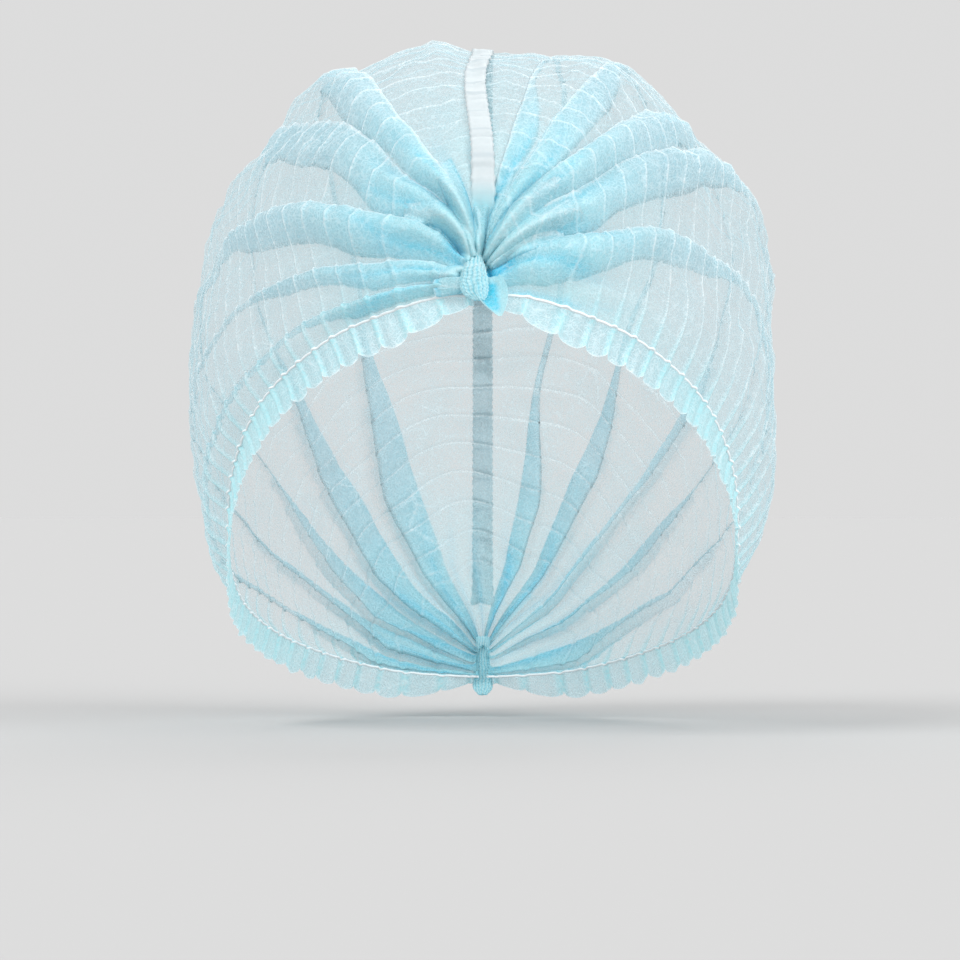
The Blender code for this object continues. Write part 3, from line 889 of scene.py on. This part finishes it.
def build_strand(name, rows, veil, deep):
    """A smooth fold over the veil, from where it rises out of it to the front weld."""
    along_it = np.linspace(0, len(rows) - 1, STRAND_GRID[0])
    x, z, half, height = (
        smooth([(i, row[column]) for i, row in enumerate(rows)], along_it)
        for column in range(4)
    )
    across = np.linspace(-1, 1, STRAND_GRID[1])
    way = np.stack([np.gradient(x), np.gradient(z)], -1)
    way /= np.linalg.norm(way, axis=1, keepdims=True)
    x = x[:, None] + half[:, None] * across * -way[:, 1:]
    z = z[:, None] + half[:, None] * across * way[:, :1]
    y = np.empty(x.shape)
    inwards = Vector((0, 1, 0))
    for place in np.ndindex(x.shape):
        start = Vector((MM * x[place], -0.3, MM * z[place]))
        hit = veil.ray_cast(start, inwards, TO_FRONT_SHEET)
        y[place] = hit[0].y if hit[0] else np.nan
    for row in y:  # where a ray missed, the depth of its neighbours
        found = ~np.isnan(row)
        if found.any():
            row[~found] = np.interp(across[~found], across[found], row[found])
    y[np.isnan(y)] = np.nanmean(y)
    for _ in range(STRAND_SMOOTHING):
        padded = np.pad(y, 1, mode="edge")
        y = (y * 2 + padded[:-2, 1:-1] + padded[2:, 1:-1]) / 4
        y = (y * 2 + padded[1:-1, :-2] + padded[1:-1, 2:]) / 4
    bend = across + 0.18 * np.sin(2.2 * along_it)[:, None] * (1 - across**2)
    profile = np.cos(np.pi / 2 * np.clip(bend, -1, 1)) ** 0.8
    lift = height[:, None] * profile * (1 + 0.10 * np.sin(5 * across + along_it[:, None]))
    y = y + STRAND_SINK - MM * lift
    points = np.stack([MM * x, y, MM * z], -1)
    points[..., 2] += 0.0003 * lift
    end = ease(0.0, 1.6, along_it)[:, None]
    # painted highlight along each fold's crest and painted shade in deep blue along its borders;
    # the strand in the hollow carries painted shade along its middle instead
    edge = (0.0 if deep else 0.6) * profile**6
    painted_shade = (1.3 * profile if deep else 0.85 * (1 - profile) ** 1.6) * end
    strand = grid_object(name, points, cloth_fields(x.shape, 0.45 + 0.55 * end, edge, painted_shade))
    thicken(strand, STRAND_WALL)
    return strand


class Tree:
    """A new material, with short ways to add shader nodes."""

    def __init__(self, name):
        self.material = bpy.data.materials.new(name)
        self.material.use_nodes = True
        self.tree = self.material.node_tree
        self.tree.nodes.clear()

    def node(self, kind):
        return self.tree.nodes.new("ShaderNode" + kind)

    def feed(self, socket, given):
        """Links an output to a socket, or sets the socket to a number or a colour."""
        if isinstance(given, tuple):
            socket.default_value = (*given, 1)
        elif isinstance(given, (int, float)):
            socket.default_value = given
        else:
            self.tree.links.new(given, socket)

    def value(self, kind, a, b=None, c=None, clamp=False):
        made = self.node("Math")
        made.operation = kind
        made.use_clamp = clamp
        for socket, given in zip(made.inputs, (a, b, c)):
            if given is not None:
                self.feed(socket, given)
        return made.outputs[0]

    def mix(self, factor, a, b):
        made = self.node("Mix")
        made.data_type = "RGBA"
        for socket, given in zip((made.inputs[0], *made.inputs[6:8]), (factor, a, b)):
            self.feed(socket, given)
        return made.outputs[2]

    def mix_shaders(self, factor, a, b):
        made = self.node("MixShader")
        for socket, given in zip(made.inputs, (factor, a.outputs[0], b.outputs[0])):
            self.feed(socket, given)
        return made

    def finished(self, shader):
        """The material, with this shader as its surface."""
        self.feed(self.node("OutputMaterial").inputs["Surface"], shader.outputs[0])
        return self.material

    def bump(self, height, strength, distance):
        made = self.node("Bump")
        made.inputs["Strength"].default_value = strength
        made.inputs["Distance"].default_value = distance
        self.feed(made.inputs["Height"], height)
        return made.outputs["Normal"]

    def shader(self, kind, colour, normal=None, settings=None):
        """A shader node of a colour, with other sockets set by name."""
        made = self.node(kind)
        self.feed(made.inputs[0], colour)
        if normal:
            self.feed(made.inputs["Normal"], normal)
        for name, value in (settings or {}).items():
            made.inputs[name].default_value = value
        return made

    def field(self, name):
        made = self.node("Attribute")
        made.attribute_name = name
        return made.outputs["Fac"]

    def noise(self, scale, detail, distortion=0.0, stretch=None, turn=None, place=None):
        """Noise over the object's own coordinates, stretched and turned if asked."""
        made = self.node("TexNoise")
        made.inputs["Scale"].default_value = scale
        made.inputs["Detail"].default_value = detail
        made.inputs["Distortion"].default_value = distortion
        where = self.node("TexCoord").outputs["Object"]
        if stretch or turn or place:
            mapping = self.node("Mapping")
            mapping.inputs["Scale"].default_value = stretch or (1, 1, 1)
            mapping.inputs["Rotation"].default_value = turn or (0, 0, 0)
            mapping.inputs["Location"].default_value = place or (0, 0, 0)
            self.feed(mapping.inputs["Vector"], where)
            where = mapping.outputs["Vector"]
        self.feed(made.inputs["Vector"], where)
        return made.outputs["Fac"]

    def fibres(self, scale, width, seed, curl=0.0):
        """Thin wandering lines, like fibres laid at random."""
        turn = (seed * 1.1, seed * 0.7, seed * 1.9)
        field = self.noise(scale, 1.0, curl, turn=turn, place=(seed * 0.3, seed * 0.2, 0))
        off = self.value("ABSOLUTE", self.value("SUBTRACT", field, 0.5))
        return self.value("SUBTRACT", 1.0, self.value("DIVIDE", off, width), clamp=True)

    def crumples(self, scale, width, share):
        """Straight sharp creases, as in crumpled paper, on about this share of the cloth."""
        cells = self.node("TexVoronoi")
        cells.feature = "DISTANCE_TO_EDGE"
        cells.inputs["Scale"].default_value = scale
        cells.inputs["Randomness"].default_value = 1.0
        where = self.node("TexCoord").outputs["Object"]
        self.feed(cells.inputs["Vector"], where)
        near = self.value("DIVIDE", cells.outputs["Distance"], width)
        near = self.value("SUBTRACT", 1.0, near, clamp=True)
        mask = self.noise(34, 2.0)
        mask = self.value("MULTIPLY", self.value("SUBTRACT", mask, 1 - share), 7.0, clamp=True)
        return self.value("MULTIPLY", near, mask)


# How much of what lies behind it each cloth covers, before its fibres and layers
VEIL_COVER = 0.22
HEM_COVER = 0.50
BUNDLE_COVER = 0.50

PALE_BLUE = (0.47, 0.71, 0.785)
MID_BLUE = (0.50, 0.83, 0.88)
# painted shade: the deep blue laid into valleys and hollows
PAINTED_SHADE_BLUE = (0.06, 0.64, 0.85)
# white of loose fibres, fold edges and creases, and also of painted highlights
FIBRE_AND_HIGHLIGHT_WHITE = (0.84, 0.91, 0.93)
ELASTIC_WHITE = (0.84, 0.89, 0.91)
STRIP_SHADE = (0.62, 0.68, 0.70)
STRIP_LIGHT = (0.70, 0.75, 0.77)
# painted shade along the strip's cross creases
STRIP_CREASE_SHADE = (0.50, 0.58, 0.62)


def nonwoven(name, cover):
    """Thin spunbond: see-through between its fibres, and bluer where it is bunched, with painted
    shade in deep blue and painted highlights in white.
    """
    tree = Tree(name)
    coarse = tree.fibres(230, 0.030, 1, curl=0.6)
    middle = tree.fibres(390, 0.045, 2)
    fine = tree.fibres(640, 0.060, 3)
    web = tree.value("MAXIMUM", coarse, middle)
    web = tree.value("MAXIMUM", web, tree.value("MULTIPLY", fine, 0.7))
    smooth_here = tree.value("MULTIPLY", tree.field("bunch"), 0.65)
    web = tree.value("MULTIPLY", web, tree.value("SUBTRACT", 1.0, smooth_here))
    cloud = tree.value("SUBTRACT", tree.noise(70, 3.0), 0.5)
    speck = tree.value("SUBTRACT", tree.noise(1600, 1.0), 0.5)
    bunch, hem, edge, painted_shade, lapped = (
        tree.field(field) for field in ("bunch", "hem", "edge", "painted_shade", "lapped")
    )
    tuck = tree.value("POWER", hem, 2.0)
    line = tree.value("PINGPONG", tree.field("place"), 0.5)
    line = tree.value("SUBTRACT", 0.5, line)
    line = tree.value("DIVIDE", line, tree.value("MULTIPLY_ADD", tuck, 0.150, 0.060))
    line = tree.value("SUBTRACT", 1.0, line, clamp=True)
    fading = tree.value("SUBTRACT", 1.0, tree.value("MULTIPLY", bunch, 1.15), clamp=True)
    line = tree.value("MULTIPLY", line, tree.value("POWER", fading, 0.5))
    crumple = tree.crumples(62, 0.045, 0.47)
    edge = tree.value("POWER", edge, 2.0)

    cover_here = tree.value("MULTIPLY_ADD", cloud, 0.40, cover)
    for field, share in (
        (web, 0.34),
        (speck, 0.35),
        (line, 0.45),
        (edge, 0.35),
        (hem, 0.10),
        (lapped, 0.22),
        (crumple, 0.28),
    ):
        cover_here = tree.value("MULTIPLY_ADD", field, share, cover_here)
    cover_here = tree.value("MULTIPLY_ADD", bunch, 0.36, cover_here, clamp=True)

    blue = tree.value("MULTIPLY_ADD", bunch, 0.95, tree.value("MULTIPLY", hem, 0.25))
    blue = tree.value("ADD", blue, tree.value("MULTIPLY", tree.value("MULTIPLY", line, hem), 0.7))
    blue = tree.value("MULTIPLY_ADD", cloud, 0.5, blue, clamp=True)
    colour = tree.mix(blue, PALE_BLUE, MID_BLUE)
    # painted shade: deep blue where the cloth lies in a valley or hollow
    colour = tree.mix(tree.value("MULTIPLY", painted_shade, 0.75, clamp=True), colour, PAINTED_SHADE_BLUE)
    pale = tree.value("MULTIPLY", web, 0.60)
    open_line = tree.value("MULTIPLY", line, tree.value("SUBTRACT", 1.0, hem))
    pale = tree.value("MULTIPLY_ADD", open_line, 0.75, pale)
    pale = tree.value("MULTIPLY_ADD", crumple, 0.40, pale)
    # the edge field whitens fold edges and lips, and paints highlights on the crests of the
    # bundle's flutes and strands and on the hem curl
    pale = tree.value("MULTIPLY_ADD", edge, 0.60, pale, clamp=True)
    colour = tree.mix(pale, colour, FIBRE_AND_HIGHLIGHT_WHITE)

    normal = tree.bump(tree.value("MULTIPLY_ADD", crumple, 1.5, middle), 0.35, 0.0004)
    finish = {"Roughness": 0.55, "Sheen Weight": 0.25, "Sheen Roughness": 0.4}
    cloth = tree.shader("BsdfPrincipled", colour, normal, finish)
    through = tree.shader("BsdfTranslucent", colour, normal)
    body = tree.mix_shaders(0.40, cloth, through)
    return tree.finished(tree.mix_shaders(cover_here, tree.node("BsdfTransparent"), body))


def elastic_cloth():
    """Matt white thread with a fine grain."""
    tree = Tree("elastic_thread")
    grain = tree.noise(900, 2.0)
    colour = tree.mix(grain, ELASTIC_WHITE, tuple(0.88 * c for c in ELASTIC_WHITE))
    normal = tree.bump(grain, 0.4, 0.0002)
    return tree.finished(tree.shader("BsdfPrincipled", colour, normal, {"Roughness": 0.55}))


def strip_cloth():
    """Slightly glossy white that lets a little light through, with faint cross creases painted
    darker as shade.
    """
    tree = Tree("strip_white")
    lost = tree.field("lost")
    shade = tree.mix(tree.noise(700, 2.0), STRIP_SHADE, STRIP_LIGHT)
    # painted shade: darker along the cross creases
    shade = tree.mix(tree.value("MULTIPLY", tree.field("crease"), 0.5), shade, STRIP_CREASE_SHADE)
    shade = tree.mix(lost, shade, MID_BLUE)
    cloth = tree.shader("BsdfPrincipled", shade, settings={"Roughness": 0.42})
    body = tree.mix_shaders(0.30, cloth, tree.shader("BsdfTranslucent", shade))
    gone = tree.value("MULTIPLY", lost, 0.80)
    return tree.finished(tree.mix_shaders(gone, body, tree.node("BsdfTransparent")))


class Light(NamedTuple):
    """A soft light from far away."""

    turn: float  # round from the camera's side towards the left ear, in degrees
    height: float  # degrees above the floor
    softness: float  # width of its patch of sky, in degrees
    strength: float


LIGHTS = (
    Light(-42, 44, 26, 1.60),
    Light(54, 26, 40, 1.65),
    Light(18, 10, 60, 0.60),
    Light(165, 50, 50, 0.90),
)
SKY = 0.72  # brightness of the background
FLOOR_RADIUS = 9


def stage_material(shade):
    """Matt paper."""
    tree = Tree("studio_white")
    finish = {"Roughness": 0.9, "Specular IOR Level": 0}
    return tree.finished(tree.shader("BsdfPrincipled", (shade,) * 3, settings=finish))


def place(piece, material, slot, *nodes):
    """Gives a piece its material, lets it ride, and hides the nodes that it stands for."""
    piece.data.materials.clear()
    piece.data.materials.append(material)
    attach(piece, "root")
    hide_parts(*nodes)


veil_cloth = nonwoven("spunbond_veil", VEIL_COVER)
hem_cloth = nonwoven("spunbond_hem", HEM_COVER)
knot_cloth = nonwoven("spunbond_bundle", BUNDLE_COVER)
elastic_white = elastic_cloth()
strip_white = strip_cloth()

veil = build_veil()
place(veil, veil_cloth, "nonwoven", "veil")
for ear, ear_name in ((LEFT_EAR, "left"), (RIGHT_EAR, "right")):
    ruffle = build_ruffle(ear, f"scalloped_ruffle_{ear_name}")
    place(ruffle, hem_cloth, "nonwoven", f"ruffle_{ear_name}")
    thread = build_elastic(ear, f"hem_elastic_{ear_name}")
    place(thread, elastic_white, "elastic", f"elastic_{ear_name}")
place(build_strip(), strip_white, "white_strip", "crown_strip")
veil_surface = BVHTree.FromObject(veil, bpy.context.evaluated_depsgraph_get())
bundles = [
    build_knot("front_bundle", FRONT_KNOT, TO_FRONT, TAIL_WAY),
    build_tail("front_tail"),
    build_flap("front_hem_curl", RIGHT_EAR),
]
for number, rows in enumerate(STRANDS):
    deep = number == HOLLOW_SHADE_STRAND
    bundles.append(build_strand(f"front_strand_{number}", rows, veil_surface, deep))
for bundle in bundles:
    place(bundle, knot_cloth, "fused_nonwoven", "front_weld")
back_bundle = build_knot("back_bundle", BACK_KNOT, -TO_FRONT, -TO_CROWN)
place(back_bundle, knot_cloth, "fused_nonwoven", "back_weld")

# The stage
from_lights = sum(light.strength * math.sin(math.radians(light.height)) for light in LIGHTS)
floor_shade = SKY / (SKY + from_lights / math.pi)  # lit, the floor is as bright as the sky

bpy.ops.mesh.primitive_circle_add(
    vertices=96,
    radius=FLOOR_RADIUS,
    fill_type="NGON",
    location=(0, 0, CAD_BOX[0][2] - FLOOR_DROP),
)
floor = bpy.context.object
floor.name = "studio_floor"
floor.data.materials.append(stage_material(floor_shade))

world = bpy.data.worlds.new("studio")
bpy.context.scene.world = world
world.use_nodes = True
world.node_tree.nodes["Background"].inputs[0].default_value = (1, 1, 1, 1)
world.node_tree.nodes["Background"].inputs[1].default_value = SKY

for number, light in enumerate(LIGHTS):
    data = bpy.data.lights.new(f"soft_light_{number}", "SUN")
    data.angle = math.radians(light.softness)
    data.energy = light.strength
    lamp = bpy.data.objects.new(f"soft_light_{number}", data)
    lamp.rotation_euler = (math.radians(90 - light.height), 0, math.radians(light.turn))
    bpy.context.scene.collection.objects.link(lamp)

camera = bpy.data.objects.new("camera", bpy.data.cameras.new("camera"))
camera.data.sensor_width = 36
camera.data.lens = CAMERA_LENS
camera.location = CAMERA_PLACE
camera.rotation_euler = (math.pi / 2, 0, 0)
bpy.context.scene.collection.objects.link(camera)
bpy.context.scene.camera = camera
bpy.context.scene.view_settings.view_transform = "Standard"
